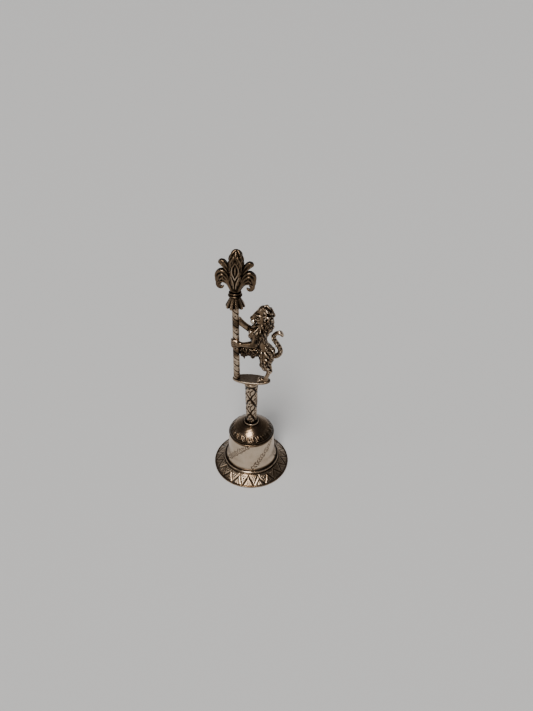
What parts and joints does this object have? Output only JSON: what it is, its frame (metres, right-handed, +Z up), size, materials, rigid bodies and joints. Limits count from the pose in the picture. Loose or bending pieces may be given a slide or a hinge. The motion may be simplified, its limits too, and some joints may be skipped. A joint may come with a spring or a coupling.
{
  "type": "sanctus bell",
  "caption": "Small hand bell with a drum-shaped waist, wide engraved brim, domed crown, swinging clapper and a figural handle of a rampant lion holding a fleur-de-lis staff.",
  "frame": {"origin": "on the bell's axis, on the plane that the brim rests on", "axes": "+Z up along the bell and stem; the staff stands towards -X and the lion towards +X, looking along -X; +Y is the lion's raised-leg side"},
  "size_m": [0.036, 0.036, 0.1129],
  "materials": {
    "silver_polished": "silver plate over brass, polished, with a warm brown tarnish film",
    "silver_bright": "silver plate over brass, rubbed bright on the wires",
    "silver_engraved": "silver plate over brass, hand engraved, cuts filled with black-brown patina",
    "silver_cast": "silver plate over cast brass, rubbed high spots and black-brown patina in the hollows",
    "brass_plain": "plain brass, dull with age"
  },
  "bodies": {
    "bell": {"brim": "silver_engraved", "foot_wire": "silver_bright", "bell_drum": "silver_polished", "shoulder_wire": "silver_bright", "bell_dome": "silver_polished", "handle_collar": "silver_bright", "handle_stem": "silver_engraved", "stem_ring": "silver_bright", "platform": "silver_cast", "staff": "silver_engraved", "tang_washer": "brass_plain", "tang_nut": "brass_plain", "clapper_eye": "brass_plain", "lion": "silver_cast", "lion_tail": "silver_cast", "finial_skirt": "silver_cast", "finial_neck": "silver_cast", "finial_plume": "silver_cast"},
    "link": {"clapper_link": "brass_plain"},
    "clapper": {"clapper_rod": "brass_plain", "clapper_ball": "brass_plain"}
  },
  "joints": [
    {"name": "link_swing", "type": "hinge", "parent": "bell", "child": "link", "pos_m": [0, 0, 0.0191], "axis": [1, 0, 0], "range_deg": [-13, 13]},
    {"name": "clapper_swing", "type": "hinge", "parent": "link", "child": "clapper", "pos_m": [0, 0, 0.01688], "axis": [0, 1, 0], "range_deg": [-40, 40]}
  ]
}
